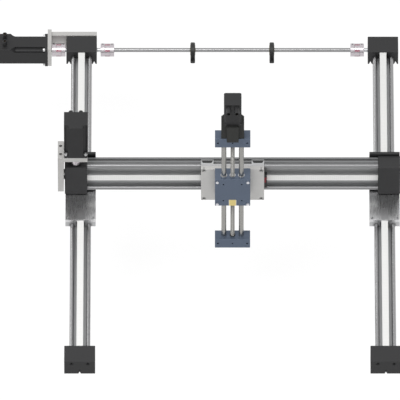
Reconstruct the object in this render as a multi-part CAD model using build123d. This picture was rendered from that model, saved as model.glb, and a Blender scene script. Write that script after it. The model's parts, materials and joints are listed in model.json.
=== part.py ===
from build123d import *
import math
import os

# Frame: X across the machine, Y along the two long rails, Z up. The origin lies midway between
# the rails, at half their length, in the plane that the end housings are bolted to.

# Layout
long_length = 1000.0
bridge_length = 700.0
rail_outset = 16.0
bridge_base_y = 51.1
bridge_mid_z = 89.0

# Section that all three belt axes share, as heights above the mounting face
shaft_height = 27.0
shaft_radius = 5.0
profile_bottom = 3.0
web_height = 20.0
neck_width = 6.0
wall = 2.0

# Fits
running = 0.05
air = 0.3
belt_air = 0.8
passage_air = 1.0
shaft_end_air = 1.0

# Toothed belts and pulleys
belt_width = 16.0
belt_thickness = 2.0
belt_pitch = 5.0
tooth_depth = 1.8
flange_thickness = 1.0
long_teeth = 21
bridge_teeth = 12
long_pulley_height = 22.0
bridge_pulley_height = 21.0

# Rail spans and end housings
long_span = 40.0
bridge_span = 74.0
long_housing_width = 74.0
bridge_housing_width = 89.0
housing_length = 54.0
housing_height = 42.0
housing_edge = 1.0
socket_depth = 12.0
cavity_side = 2.5

# Ball bearings of the pulley shafts, pillow blocks and lead screw
bearing_radius = 11.0
bearing_width = 6.0

# Side slots of the extruded profiles
slot_mouth = 5.2
slot_lip = 2.0
slot_inner = 9.0
slot_depth = 5.5
back_slot_offset = 28.0

# Fasteners
m5_radius = 2.5
m6_tap_radius = 2.5
m6_radius = 3.0
m5_head_radius = 4.25
m5_head_height = 5.0
m6_head_radius = 5.0
m6_head_height = 6.0
m8_radius = 4.0
m4_radius = 2.0
m4_head_radius = 3.5
m4_head_height = 4.0
head_air = 0.3
head_recess = 1.0
housing_screw_span = 39.0
housing_screw_drop = 8.0
housing_screw_length = 14.0
base_hole_inset = 7.0
base_hole_depth = 12.0
notch_width = 7.0
notch_height = 7.5
notch_length = 8.0
pin_hole_radius = 1.6
pin_hole_height = 10.6
side_notch_width = 8.0
side_notch_height = 10.0
side_notch_length = 11.0
side_notch_inset = 6.5

# Carriages
carriage_top = 43.0
plate_thickness = 7.0
block_drop = 21.5
block_length = 30.0
block_inner = 6.5
liner_wall = 2.5
neck_air = 1.2
pad_foot = 29.6
pad_head = 20.5
pad_low = 23.4
pad_high = 33.0
pad_depth = 5.0
long_carriage_width = 73.0
long_carriage_length = 200.0
long_carriage_centre = 22.7
long_hole_inset = 6.5
bridge_carriage_width = 105.0
bridge_carriage_length = 152.0
bridge_end_inset = 7.0
bridge_side_inset = 5.0
pocket_width = 17.4
pocket_length = 40.0
clamp_thickness = 2.0

# Bridge brackets
bracket_thickness = 8.0
bracket_rise = 4.9
foot_thickness = 8.0
gusset_width = 10.0

# Motors
large_motor = 56.4
large_pitch = 47.14
large_pilot = 19.0
large_edge = 1.0
groove_radius = 7.0
groove_neck = 6.5
groove_neck_drift = 1.7
groove_runout = 12.0
large_bell = 40.5
y_motor_length = 118.5
x_motor_length = 100.7
small_motor = 42.0
small_pitch = 31.0
small_pilot = 11.0
small_edge = 4.0
small_chamfer = 4.5
z_motor_length = 69.0
motor_flange = 6.5
small_bell = 22.0
pilot_height = 1.6
motor_bore_depth = 16.0
connector_root = 1.0
connector_spacing = 24.4
connector_radius = 5.2
connector_height = 15.0
connector_inset = 14.5
small_spacing = 19.5
small_connector = 6.2
small_height = 20.0
small_inset = 11.0

# Jaw couplings
coupling_radius = 16.0
coupling_length = 32.5
hub_length = 10.0
spider_core = 6.0
spider_inset = 0.6
jaw_places = 6
jaw_angle = 46.0
link_gap = 9.4
motor_link_gap = 2.5
bridge_link_gap = 3.0

# Plates that carry the motors
y_flange_thickness = 9.4
y_flange_gap = 1.0
y_flange_low = -6.0
y_flange_high = 50.0
y_flange_width = 69.6
y_bar_thickness = 13.0
y_bar_gap = 3.0
x_flange_low = 160.8
x_flange_high = 173.8
x_side_thickness = 14.2
x_side_gap = 2.4
x_side_low = 61.0
x_side_hole_span = 28.0
standoff_radius = 6.0

# Pillow blocks under the connecting shaft
pillow_offset = 96.0
pillow_thickness = 11.3
pillow_radius = 18.8
pillow_edge = 3.0
pillow_foot = 47.0
pillow_foot_height = 6.0
pillow_hole_inset = 5.0
insert_radius = 12.0
insert_proud = 0.5

# Lifting unit
lift_axis_y = -26.6
lift_width = 85.0
guide_radius = 6.0
guide_span = 42.0
screw_radius = 5.0
adapter_thickness = 10.9
block_thickness = 39.1
block_low = 56.0
block_high = 144.7
end_plate_height = 29.0
end_plate_depth = 30.6
upper_plate_low = 253.4
lower_plate_low = -87.3
block_screw_inset = 5.7
bushing_radius = 8.0
bushing_length = 30.0
bushing_proud = 0.5
wiper_radius = 7.5
wiper_length = 10.0
small_hole_radius = 2.0
small_hole_span = 44.0
small_hole_depth = 5.0
small_hole_inset = 17.0
nut_width = 16.5
nut_height = 20.0
nut_depth = 23.0
nut_boss_radius = 7.5
nut_boss_height = 3.0
notch_side = 0.5
tool_hole_span = 70.4
tool_hole_rows = 18.0
tool_hole_depth = 10.0
front_hole_depth = 14.0
screw_recess_radius = 6.85
coupler_housing = 55.0
coupler_chamfer = 15.6
shoulder_reach = 14.0
nose_reach = 27.3
nose_root = 30.0
nose_tip = 28.0
coupler_height = 50.6
coupler_bore = 16.0
beam_radius = 10.0
beam_length = 30.0
small_shaft_radius = 2.5
tensioner_height = 10.0
tensioner_thickness = 4.6
tensioner_inset = 1.0
buffer_height = 17.0
buffer_thickness = 6.5

# Derived places
rail_offset = bridge_length / 2 + rail_outset
housing_mid = housing_length / 2
long_pulley_y = long_length / 2 + housing_mid
bridge_pulley_x = bridge_length / 2 + housing_mid
bridge_pulley_y = bridge_base_y - bridge_pulley_height
carriage_front_y = bridge_base_y - carriage_top
adapter_front_y = carriage_front_y - adapter_thickness
block_front_y = adapter_front_y - block_thickness
upper_plate_high = upper_plate_low + end_plate_height
coupler_high = upper_plate_high + coupler_height
long_hole_span = long_carriage_width - 2 * long_hole_inset
long_hole_pitch = long_carriage_length - 2 * long_hole_inset
bridge_hole_span = bridge_carriage_width - 2 * bridge_side_inset
bridge_hole_pitch = bridge_carriage_length - 2 * bridge_end_inset
block_screw_span = lift_width - 2 * block_screw_inset
bridge_frame = Plane(origin=(0, bridge_base_y, bridge_mid_z), x_dir=(0, 0, -1), z_dir=(0, -1, 0))


def between(x_pair, y_pair, z_pair):
    """Box between three pairs of limits."""
    sizes = [pair[1] - pair[0] for pair in (x_pair, y_pair, z_pair)]
    middles = [(pair[0] + pair[1]) / 2 for pair in (x_pair, y_pair, z_pair)]
    return Pos(*middles) * Box(*sizes)


def rod_x(radius, x_pair, y, z):
    """Round bar along X."""
    return Pos((x_pair[0] + x_pair[1]) / 2, y, z) * Rot(0, 90, 0) * Cylinder(radius, x_pair[1] - x_pair[0])


def rod_y(radius, y_pair, x, z):
    """Round bar along Y."""
    return Pos(x, (y_pair[0] + y_pair[1]) / 2, z) * Rot(90, 0, 0) * Cylinder(radius, y_pair[1] - y_pair[0])


def rod_z(radius, z_pair, x, y):
    """Round bar along Z."""
    return Pos(x, y, (z_pair[0] + z_pair[1]) / 2) * Cylinder(radius, z_pair[1] - z_pair[0])


def around(middle, width):
    """Pair of limits at equal distances from a middle."""
    return (middle - width / 2, middle + width / 2)


def cap_screw(radius, head_radius, head_height, length):
    """Socket head screw with its head top at the origin, pointing down."""
    head = rod_z(head_radius, (-head_height, 0), 0, 0)
    shank = rod_z(radius, (-head_height - length, -head_height), 0, 0)
    socket = Pos(0, 0, -head_height / 2) * extrude(RegularPolygon(radius, 6), amount=head_height / 2)
    return head + shank - socket


def wedge(width, height):
    """Sketch of a triangle that stands on the mounting face."""
    return Polygon((-width / 2, 0), (width / 2, 0), (0, height), align=None)


class BeltAxis:
    """Rail with two shafts, an end housing at each end and a belt; X across, Y along, Z height."""

    def __init__(self, length, span, housing_width, teeth, pulley_height):
        self.length = length
        self.span = span
        self.housing_width = housing_width
        self.teeth = teeth
        self.pulley_height = pulley_height
        self.pitch_radius = teeth * belt_pitch / (2 * math.pi)
        self.pulley_place = length / 2 + housing_mid
        self.cavity_radius = self.pitch_radius + belt_thickness / 2 + belt_air
        self.half_width = span / 2 + shaft_radius

    def slot(self):
        """Sketch of one undercut slot, mouth at the origin, cutting towards -X."""
        mouth = Pos(-slot_lip / 2, 0) * Rectangle(slot_lip, slot_mouth)
        inner_depth = slot_depth - slot_lip
        inner = Pos(-slot_lip - inner_depth / 2, 0) * Rectangle(inner_depth, slot_inner)
        return mouth + inner

    def profile(self):
        """Extruded aluminium profile with two shaft cradles, slots and the belt's return channel."""
        body_height = web_height - profile_bottom
        body_middle = (web_height + profile_bottom) / 2
        section = Pos(0, body_middle) * Rectangle(2 * self.half_width, body_height)
        neck_top = shaft_height - shaft_radius / 2
        for side in (-1, 1):
            neck_middle = (web_height + neck_top) / 2
            neck = Pos(side * self.span / 2, neck_middle) * Rectangle(neck_width, neck_top - web_height)
            section += neck
            section -= Pos(side * self.span / 2, shaft_height) * Circle(shaft_radius)
        section -= Pos(self.half_width, body_middle) * self.slot()
        section -= Pos(-self.half_width, body_middle) * Rot(0, 0, 180) * self.slot()
        section -= self.channel()
        channel_edge = belt_width / 2 + belt_air + wall
        chamber_low = profile_bottom + slot_lip + wall
        chamber_high = web_height - wall
        if back_slot_offset + slot_inner / 2 + wall < self.half_width - slot_depth:
            chamber_edge = back_slot_offset - slot_inner / 2 - wall
            for side in (-1, 1):
                back = Pos(side * back_slot_offset, profile_bottom) * Rot(0, 0, -90)
                section -= back * self.slot()
        else:
            chamber_edge = self.half_width - slot_depth - wall
        chamber = Rectangle(chamber_edge - channel_edge, chamber_high - chamber_low)
        for side in (-1, 1):
            place = (channel_edge + chamber_edge) / 2
            section -= Pos(side * place, (chamber_low + chamber_high) / 2) * chamber
        return extrude(Plane.XZ * section, amount=self.length / 2, both=True)

    def channel(self):
        """Sketch of the passage of the belt's return run, open below where its floor would be thin."""
        middle = self.pulley_height - self.pitch_radius
        low = middle - belt_thickness / 2 - belt_air
        high = middle + belt_thickness / 2 + belt_air
        if low < profile_bottom + wall:
            low = profile_bottom - wall
        return Pos(0, (low + high) / 2) * Rectangle(belt_width + 2 * belt_air, high - low)

    def shafts(self):
        """Two ground shafts that sit in the cradles and end in the housings."""
        reach = self.length / 2 + socket_depth
        return [rod_y(shaft_radius, (-reach, reach), side * self.span / 2, shaft_height) for side in (-1, 1)]

    def housing(self, low_open, high_open):
        """End housing at the +Y end, with bearing seats and an open shaft passage where asked."""
        start = self.length / 2
        end = start + housing_length
        half = self.housing_width / 2
        body = between((-half, half), (start, end), (0, housing_height))
        body = chamfer(body.edges(), housing_edge)
        cavity_half = belt_width / 2 + cavity_side
        cavity = rod_x(self.cavity_radius, (-cavity_half, cavity_half), self.pulley_place, self.pulley_height)
        mouth_height = around(self.pulley_height, 2 * self.cavity_radius)
        cavity += between((-cavity_half, cavity_half), (start, self.pulley_place), mouth_height)
        body -= cavity
        seat = cavity_half + bearing_width
        body -= rod_x(bearing_radius, (-seat, seat), self.pulley_place, self.pulley_height)
        low_end = -half if low_open else -seat - wall
        high_end = half if high_open else seat + wall
        passage = rod_x(shaft_radius + passage_air, (low_end, high_end), self.pulley_place, self.pulley_height)
        body -= passage
        for side in (-1, 1):
            body -= rod_y(shaft_radius, (start, start + socket_depth), side * self.span / 2, shaft_height)
            hole_x = side * (half - base_hole_inset)
            body -= rod_z(m6_tap_radius, (0, base_hole_depth), hole_x, self.pulley_place)
            screw_x = side * housing_screw_span / 2
            screw_z = housing_height - housing_screw_drop
            head_low = end - m5_head_height - head_recess
            body -= rod_y(m5_head_radius + head_air, (head_low, end), screw_x, screw_z)
            body -= rod_y(m5_radius, (head_low - housing_screw_length, head_low), screw_x, screw_z)
            side_notch = Plane.XZ * wedge(side_notch_width, side_notch_height)
            side_cut = extrude(side_notch, amount=-side_notch_length)
            body -= Pos(side * (half - side_notch_inset), start, 0) * side_cut
        middle_cut = extrude(Plane.XZ * wedge(notch_width, notch_height), amount=notch_length)
        body -= Pos(0, end, 0) * middle_cut
        return body - rod_y(pin_hole_radius, (end - notch_length, end), 0, pin_hole_height)

    def housing_screws(self):
        """Two socket screws in the outer face of the +Y housing."""
        face = self.length / 2 + housing_length - head_recess
        screw_z = housing_height - housing_screw_drop
        screw = cap_screw(m5_radius, m5_head_radius, m5_head_height, housing_screw_length)
        places = [Pos(side * housing_screw_span / 2, face, screw_z) for side in (-1, 1)]
        return [place * Rot(-90, 0, 0) * screw for place in places]

    def belt(self):
        """Closed belt loop over the two pulleys."""
        centres = 2 * self.pulley_place
        outer = SlotCenterToCenter(centres, 2 * self.pitch_radius + belt_thickness)
        inner = SlotCenterToCenter(centres, 2 * self.pitch_radius - belt_thickness)
        loop = Plane.YZ * Pos(0, self.pulley_height) * (outer - inner)
        return extrude(loop, amount=belt_width / 2, both=True)

    def bearings(self):
        """Two ball bearings on each side of the +Y pulley."""
        low = belt_width / 2 + cavity_side
        rings = []
        for side in (-1, 1):
            pair = sorted((side * low, side * (low + bearing_width)))
            ring = rod_x(bearing_radius, pair, self.pulley_place, self.pulley_height)
            ring -= rod_x(shaft_radius + running, pair, self.pulley_place, self.pulley_height)
            rings.append(ring)
        return rings

    def pulley(self, low_end, high_end):
        """Toothed pulley with side flanges, in one piece with its shaft, at the +Y end."""
        tip = self.pitch_radius - belt_thickness / 2 - air
        gullet_width = belt_pitch / 2
        gullet = Rectangle(2 * tooth_depth, gullet_width)
        section = Circle(tip) - PolarLocations(tip, self.teeth) * gullet
        toothed = extrude(section, amount=belt_width / 2 + air, both=True)
        flange = self.pitch_radius + belt_thickness / 2 + belt_air / 2
        edge = belt_width / 2 + air
        wheel = toothed
        for side in (-1, 1):
            pair = sorted((side * edge, side * (edge + flange_thickness)))
            wheel += rod_z(flange, pair, 0, 0)
        wheel = Pos(0, self.pulley_place, self.pulley_height) * Rot(0, 90, 0) * wheel
        return wheel + rod_x(shaft_radius, (low_end, high_end), self.pulley_place, self.pulley_height)


def carriage(axis, width, length, centre, hole_span, hole_pitch, tunnel):
    """Carriage plate with its corner holes and, where the belt runs inside it, tunnel and pockets."""
    ends = around(centre, length)
    plate_low = carriage_top - plate_thickness
    plate = between((-width / 2, width / 2), ends, (plate_low, carriage_top))
    plate = chamfer(plate.edges().filter_by(Axis.Z), housing_edge)
    strand = axis.pulley_height + axis.pitch_radius
    belt_room = around(strand, belt_thickness + 2 * air)
    if tunnel:
        side_room = around(0, belt_width + 2 * air)
        plate -= between(side_room, ends, belt_room)
        for end in (-1, 1):
            edge = centre + end * length / 2
            pocket = clamp_outline(edge, -end, pocket_width / 2)
            plate -= Pos(0, 0, carriage_top - clamp_thickness) * extrude(pocket, amount=clamp_thickness)
    for x in (-hole_span / 2, hole_span / 2):
        for y in around(centre, hole_pitch):
            plate -= rod_z(m6_radius, (plate_low, carriage_top), x, y)
    return plate


def clamp_outline(edge, inward, half_width):
    """Sketch of a belt clamp's outline: square at the carriage's end, round inside."""
    straight = pocket_length - pocket_width / 2
    middle = edge + inward * straight / 2
    outline = Pos(0, middle) * Rectangle(2 * half_width, straight)
    return outline + Pos(0, edge + inward * straight) * Circle(half_width)


def belt_clamps(length, centre):
    """Two clamp plates that fill a carriage's pockets."""
    clamps = []
    for end in (-1, 1):
        edge = centre + end * length / 2
        outline = clamp_outline(edge, -end, pocket_width / 2 - running)
        clamps.append(Pos(0, 0, carriage_top - clamp_thickness) * extrude(outline, amount=clamp_thickness))
    return clamps


def bearing_places(axis, length, centre):
    """Shaft side and Y limits of a carriage's four bearing blocks."""
    places = []
    for side in (-1, 1):
        for end in (-1, 1):
            edge = centre + end * length / 2
            places.append((side, sorted((edge, edge - end * block_length))))
    return places


def neck_slot(axis, side, ends):
    """Space for the profile's neck under a bearing."""
    half = neck_width / 2 + neck_air
    return between(around(side * axis.span / 2, 2 * half), ends, (profile_bottom, shaft_height))


def bearing_blocks(axis, width, length, centre):
    """Four open bearing blocks under a carriage plate."""
    blocks = []
    for side, ends in bearing_places(axis, length, centre):
        limits = sorted((side * (axis.span / 2 - block_inner - shaft_radius / 2), side * width / 2))
        block = between(limits, ends, (carriage_top - block_drop, carriage_top - plate_thickness))
        block -= rod_y(shaft_radius + liner_wall, ends, side * axis.span / 2, shaft_height)
        blocks.append(block - neck_slot(axis, side, ends) - pad(width, side, ends))
    return blocks


def pad(width, side, ends):
    """Pad in the outer side of a bearing block, wider towards the rail."""
    foot = pad_foot / 2
    head = pad_head / 2
    outline = Polygon((-foot, pad_low), (foot, pad_low), (head, pad_high), (-head, pad_high), align=None)
    low = min(side * width / 2, side * (width / 2 - pad_depth))
    return Pos(low, (ends[0] + ends[1]) / 2, 0) * extrude(Plane.YZ * outline, amount=pad_depth)


def bearing_liners(axis, width, length, centre):
    """Open liners that run on the shafts, and the pads in the blocks' outer sides."""
    liners = []
    for side, ends in bearing_places(axis, length, centre):
        liner = rod_y(shaft_radius + liner_wall, ends, side * axis.span / 2, shaft_height)
        liner -= rod_y(shaft_radius + running, ends, side * axis.span / 2, shaft_height)
        liners.append(liner - neck_slot(axis, side, ends))
        liners.append(pad(width, side, ends))
    return liners


def sector(radius, start, sweep):
    """Sketch of a slice of a disc, from a start angle through a sweep under 90 degrees."""
    far = 2 * radius
    angles = (math.radians(start), math.radians(start + sweep))
    corners = [(far * math.cos(angle), far * math.sin(angle)) for angle in angles]
    return Circle(radius) & Polygon((0, 0), *corners, align=None)


def coupling(bore, start):
    """Jaw coupling along Z from a start height: two hubs with three jaws each and a spider."""
    spider_length = coupling_length - 2 * hub_length
    step = 360 / jaw_places
    hub = rod_z(coupling_radius, (0, hub_length), 0, 0) - rod_z(bore, (0, hub_length), 0, 0)
    for jaw in range(0, jaw_places, 2):
        claw = sector(coupling_radius, jaw * step, jaw_angle) - Circle(spider_core)
        hub += Pos(0, 0, hub_length) * extrude(claw, amount=spider_length - air)
    # Turned end for end, the hub's jaws come to lie between those of the first.
    facing = Pos(0, 0, coupling_length) * Rot(0, 180, 0) * Rot(0, 0, -jaw_angle) * hub
    star = Circle(spider_core)
    for arm in range(jaw_places):
        star += sector(coupling_radius - spider_inset, arm * step + jaw_angle, step - jaw_angle)
    spider = Pos(0, 0, hub_length) * extrude(star, amount=spider_length)
    return [Pos(0, 0, start) * piece for piece in (hub, facing, spider)]


def grooves(side, near, far, drift):
    """Two round cuts along a large motor's flange screws, moving outwards between two depths."""
    cuts = []
    for x in (-1, 1):
        start = Pos(x * large_pitch / 2, side * large_pitch / 2, near) * Circle(groove_radius)
        path = Vector(x * drift, side * drift, far - near)
        cuts.append(extrude(start, amount=path.length, dir=path.normalized()))
    return cuts


def groove_cuts(length):
    """Screw grooves of a large motor: to its rear end below, and up to the bell beside the sockets."""
    neck_depth = -motor_flange - groove_neck
    bell_depth = large_bell - length
    bell_drift = (large_motor - large_pitch) / 2 + groove_radius / math.sqrt(2)
    cuts = grooves(-1, neck_depth, -motor_flange, groove_neck_drift)
    cuts += grooves(-1, neck_depth, -length, 0)
    cuts += grooves(1, neck_depth, -motor_flange, groove_neck_drift)
    cuts += grooves(1, neck_depth, bell_depth, 0)
    return cuts + grooves(1, bell_depth, bell_depth - groove_runout, bell_drift)


def corner_cuts(length):
    """Four flat corner cuts of the small motor, from its flange to its rear bell."""
    square = Rectangle(small_motor, small_motor)
    corners = square - chamfer(square.vertices(), small_chamfer)
    cut = extrude(corners, amount=-(length - motor_flange - small_bell))
    return (Pos(0, 0, -motor_flange) * cut).solids()


def motor(size, length, pitch, pilot, edge, bore, sockets, cuts):
    """Square motor, shaft towards +Z from a flange face at the origin, sockets on the +Y side."""
    whole = extrude(RectangleRounded(size, size, edge), amount=-length)
    for cut in cuts:
        whole -= cut
    for x in (-pitch / 2, pitch / 2):
        for y in (-pitch / 2, pitch / 2):
            whole -= rod_z(m5_radius, (-motor_flange, 0), x, y)
    whole += rod_z(pilot - running, (0, pilot_height), 0, 0)
    spacing, radius, height, inset = sockets
    for side in (-1, 1):
        place = (side * spacing / 2, -length + inset)
        whole += rod_y(radius, (size / 2 - connector_root, size / 2 + height), *place)
        whole -= rod_y(radius - wall, (size / 2 + height / 2, size / 2 + height), *place)
    return whole - rod_z(bore + running, (-motor_bore_depth, pilot_height), 0, 0)


def bracket():
    """Angle bracket: upright behind the bridge's end housing, foot on the carriage, two gussets."""
    front = bridge_base_y
    back = front + bracket_thickness
    rear = long_carriage_centre + long_carriage_length / 2
    half = long_carriage_width / 2
    top = bridge_mid_z + bridge_housing_width / 2 + bracket_rise
    body = between((-half, half), (front, back), (carriage_top, top))
    body += between((-half, half), (back, rear), (carriage_top, carriage_top + foot_thickness))
    foot_top = carriage_top + foot_thickness
    rib_end = rear - 2 * m6_head_radius - wall
    rib = Polygon((back, foot_top), (rib_end, foot_top), (back, top - wall), align=None)
    for side in (-1, 1):
        place = Pos(side * (half - gusset_width / 2) - gusset_width / 2, 0, 0)
        body += place * extrude(Plane.YZ * rib, amount=gusset_width)
    for side in (-1, 1):
        hole_y = long_carriage_centre + long_hole_pitch / 2
        body -= rod_z(m6_radius, (carriage_top, foot_top), side * long_hole_span / 2, hole_y)
    return body


def pillow_block():
    """Pillow block: foot with two holes and a round eye, thickness along X."""
    middle = (long_pulley_y, long_pulley_height)
    thick = around(0, pillow_thickness)
    eye = rod_x(pillow_radius, thick, *middle)
    eye += between(thick, around(long_pulley_y, 2 * pillow_radius), (0, long_pulley_height))
    foot = between(thick, around(long_pulley_y, pillow_foot), (0, pillow_foot_height))
    block = eye & between(thick, around(long_pulley_y, pillow_foot), (0, long_pulley_height + pillow_radius))
    block = fillet(block.edges().filter_by(GeomType.CIRCLE), pillow_edge)
    foot = fillet(foot.edges().filter_by(Axis.Z), pillow_edge)
    block += foot
    for side in (-1, 1):
        hole_y = long_pulley_y + side * (pillow_foot / 2 - pillow_hole_inset)
        block -= rod_z(m5_radius, (0, housing_height), 0, hole_y)
    return block - rod_x(insert_radius, thick, *middle)


def pillow_insert():
    """Bearing insert of a pillow block, a little wider than the block."""
    thick = around(0, pillow_thickness + 2 * insert_proud)
    ring = rod_x(insert_radius, thick, long_pulley_y, long_pulley_height)
    return ring - rod_x(shaft_radius + running, thick, long_pulley_y, long_pulley_height)


def middle_block():
    """Block that carries the guide bushings and the nut, bolted to the adapter plate."""
    body = between(around(0, lift_width), (block_front_y, adapter_front_y), (block_low, block_high))
    body = chamfer(body.edges(), housing_edge / 2)
    for side in (-1, 1):
        x = side * guide_span / 2
        body -= rod_z(guide_radius + passage_air, (block_low, block_high), x, lift_axis_y)
        body -= rod_z(bushing_radius, (block_high - bushing_length, block_high), x, lift_axis_y)
        body -= rod_z(bushing_radius, (block_low, block_low + bushing_length), x, lift_axis_y)
    body -= rod_z(screw_radius + passage_air, (block_low, block_high), 0, lift_axis_y)
    body -= rod_z(wiper_radius, (block_high - wiper_length, block_high), 0, lift_axis_y)
    notch_x = around(0, nut_width + 2 * notch_side)
    body -= between(notch_x, (block_front_y, block_front_y + nut_depth), (block_low, block_low + nut_height))
    middle = (block_low + block_high) / 2
    for x in around(0, block_screw_span):
        for z in around(middle, block_screw_span):
            body -= rod_y(m4_radius, (block_front_y, adapter_front_y), x, z)
    for x in around(0, small_hole_span):
        for z in (block_low + small_hole_inset, block_high - small_hole_inset):
            body -= rod_y(small_hole_radius, (block_front_y, block_front_y + small_hole_depth), x, z)
    return body


def lead_nut():
    """Square nut in the block's notch, with a round boss below, running on the lead screw."""
    front = block_front_y + air
    high = block_low + nut_height
    boss_low = block_low - nut_boss_height
    body = between(around(0, nut_width), (front, block_front_y + nut_depth), (block_low, high))
    body += rod_z(nut_boss_radius, (boss_low, block_low), 0, lift_axis_y)
    return body - rod_z(screw_radius + running, (boss_low, high), 0, lift_axis_y)


def end_plate(low, bearing_pair, guide_pair, recess_pair):
    """End plate of the lifting unit, with guide seats, screw bearing seat and front holes."""
    high = low + end_plate_height
    middle = low + end_plate_height / 2
    depth = (block_front_y, block_front_y + end_plate_depth)
    body = between(around(0, lift_width), depth, (low, high))
    body = chamfer(body.edges(), housing_edge / 2)
    for side in (-1, 1):
        body -= rod_z(guide_radius, guide_pair, side * guide_span / 2, lift_axis_y)
        hole_x = side * tool_hole_span / 2
        body -= rod_y(m6_tap_radius, (block_front_y, block_front_y + front_hole_depth), hole_x, middle)
    body -= rod_z(bearing_radius, bearing_pair, 0, lift_axis_y)
    body -= rod_z(screw_recess_radius, recess_pair, 0, lift_axis_y)
    body -= rod_y(small_hole_radius, (block_front_y, block_front_y + small_hole_depth), 0, middle)
    return body


def screw_bearing(pair):
    """Bearing of the lead screw."""
    ring = rod_z(bearing_radius, pair, 0, lift_axis_y)
    return ring - rod_z(screw_radius + running, pair, 0, lift_axis_y)


def coupler_body():
    """Housing between the upper end plate and the lifting motor, cut back beside its nose."""
    half = coupler_housing / 2
    rear = half - coupler_chamfer
    nose = ((nose_tip / 2, -nose_reach), (nose_root / 2, -shoulder_reach))
    right_side = (*nose, (half, -shoulder_reach), (half, rear), (rear, half))
    left_side = [(-x, y) for x, y in reversed(right_side)]
    outline = Polygon(*right_side, *left_side, align=None)
    body = extrude(outline - Circle(coupler_bore), amount=coupler_height)
    return Pos(0, lift_axis_y, upper_plate_high) * body


def beam_coupling():
    """One-piece coupling between the lead screw and the lifting motor's shaft."""
    middle = upper_plate_high + coupler_height / 2
    body = rod_z(beam_radius, around(middle, beam_length), 0, lift_axis_y)
    body -= rod_z(screw_radius, (middle - beam_length / 2, middle), 0, lift_axis_y)
    return body - rod_z(small_shaft_radius, (middle, middle + beam_length / 2), 0, lift_axis_y)


def adapter_plate():
    """Plate between the bridge carriage and the lifting unit, with four counterbored holes."""
    y_pair = (adapter_front_y, carriage_front_y)
    body = between(around(0, bridge_carriage_length), y_pair, around(bridge_mid_z, bridge_carriage_width))
    body = chamfer(body.edges(), housing_edge / 2)
    cut = (adapter_front_y, adapter_front_y + m6_head_height + head_recess)
    for x in around(0, bridge_hole_pitch):
        for z in around(bridge_mid_z, bridge_hole_span):
            body -= rod_y(m6_head_radius + head_air, cut, x, z)
            body -= rod_y(m6_radius, y_pair, x, z)
    block_middle = (block_low + block_high) / 2
    for x in around(0, block_screw_span):
        for z in around(block_middle, block_screw_span):
            body -= rod_y(m4_radius, (adapter_front_y, carriage_front_y - wall), x, z)
    return body


def front_screws(screw, x_span, z_span, z_middle, head_y):
    """Four socket screws that point back along Y."""
    places = [(x, z) for x in around(0, x_span) for z in around(z_middle, z_span)]
    return [Pos(x, head_y, z) * Rot(90, 0, 0) * screw for x, z in places]


def y_motor_plate(front_x):
    """Plate between the long rail's motor and its bar, bored for the motor's pilot."""
    rear = long_length / 2 + housing_length + y_bar_gap + y_bar_thickness
    pair = (front_x, front_x + y_flange_thickness)
    body = between(pair, (rear - y_flange_width, rear), (y_flange_low, y_flange_high))
    return body - rod_x(large_pilot, pair, long_pulley_y, long_pulley_height)


def y_motor_bar(start_x):
    """Bar behind the rear housing that carries the motor plate on two standoffs."""
    face = long_length / 2 + housing_length
    end_x = -rail_offset + long_housing_width / 2
    front = face + y_bar_gap
    body = between((start_x, end_x), (front, front + y_bar_thickness), (0, housing_height))
    for side in (-1, 1):
        x = -rail_offset + side * (long_housing_width / 2 - 2 * standoff_radius)
        body += rod_y(standoff_radius, (face, face + y_bar_gap), x, housing_height / 2)
    return body


def x_motor_plate(side_x):
    """Plate above the bridge's drive housing, bored for the motor's pilot."""
    x_pair = (side_x, -bridge_pulley_x + large_motor / 2)
    y_pair = around(bridge_pulley_y, large_motor)
    body = between(x_pair, y_pair, (x_flange_low, x_flange_high))
    return body - rod_z(large_pilot, (x_flange_low, x_flange_high), -bridge_pulley_x, bridge_pulley_y)


def x_side_plate(side_x):
    """Upright plate beside the drive housing that carries the motor plate on two standoffs."""
    y_pair = (bridge_pulley_y - large_motor / 2, bridge_pulley_y + large_motor / 2 + wall)
    body = between((side_x - x_side_thickness, side_x), y_pair, (x_side_low, x_flange_high))
    for z in (bridge_mid_z - standoff_radius, bridge_mid_z + 2 * standoff_radius):
        body += rod_x(standoff_radius, (side_x, side_x + x_side_gap), bridge_pulley_y, z)
    hole_x = side_x - x_side_thickness / 2
    for y in around(bridge_pulley_y, x_side_hole_span):
        body -= rod_z(m8_radius, (x_flange_high - base_hole_depth, x_flange_high), hole_x, y)
    return body


def tensioner(thickness, z_pair):
    """Plate on the end of the bridge carriage, in front of the belt."""
    x_pair = (bridge_carriage_length / 2, bridge_carriage_length / 2 + thickness)
    belt_front_y = bridge_pulley_y - bridge_axis.pitch_radius - belt_thickness / 2
    y_pair = (carriage_front_y + tensioner_inset, belt_front_y - air)
    return between(x_pair, y_pair, z_pair)


def end_buffers():
    """Two black buffers above and below the red belt tensioner."""
    middles = around(bridge_mid_z, tensioner_height + buffer_height)
    return [tensioner(buffer_thickness, around(z, buffer_height)) for z in middles]


def save(name, *shapes):
    """Write one sub-part, with as many solids as its shapes hold."""
    solids = [solid for shape in shapes for solid in shape.solids()]
    whole = solids[0] if len(solids) == 1 else Compound(solids)
    export_step(whole, os.path.join("parts", name + ".step"))


os.makedirs("parts", exist_ok=True)
long_axis = BeltAxis(long_length, long_span, long_housing_width, long_teeth, long_pulley_height)
bridge_axis = BeltAxis(bridge_length, bridge_span, bridge_housing_width, bridge_teeth, bridge_pulley_height)
left = Pos(-rail_offset, 0, 0)
right = Pos(rail_offset, 0, 0)
turned = Rot(0, 0, 180)
sides = (left, right)
bridge = bridge_frame.location

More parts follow.
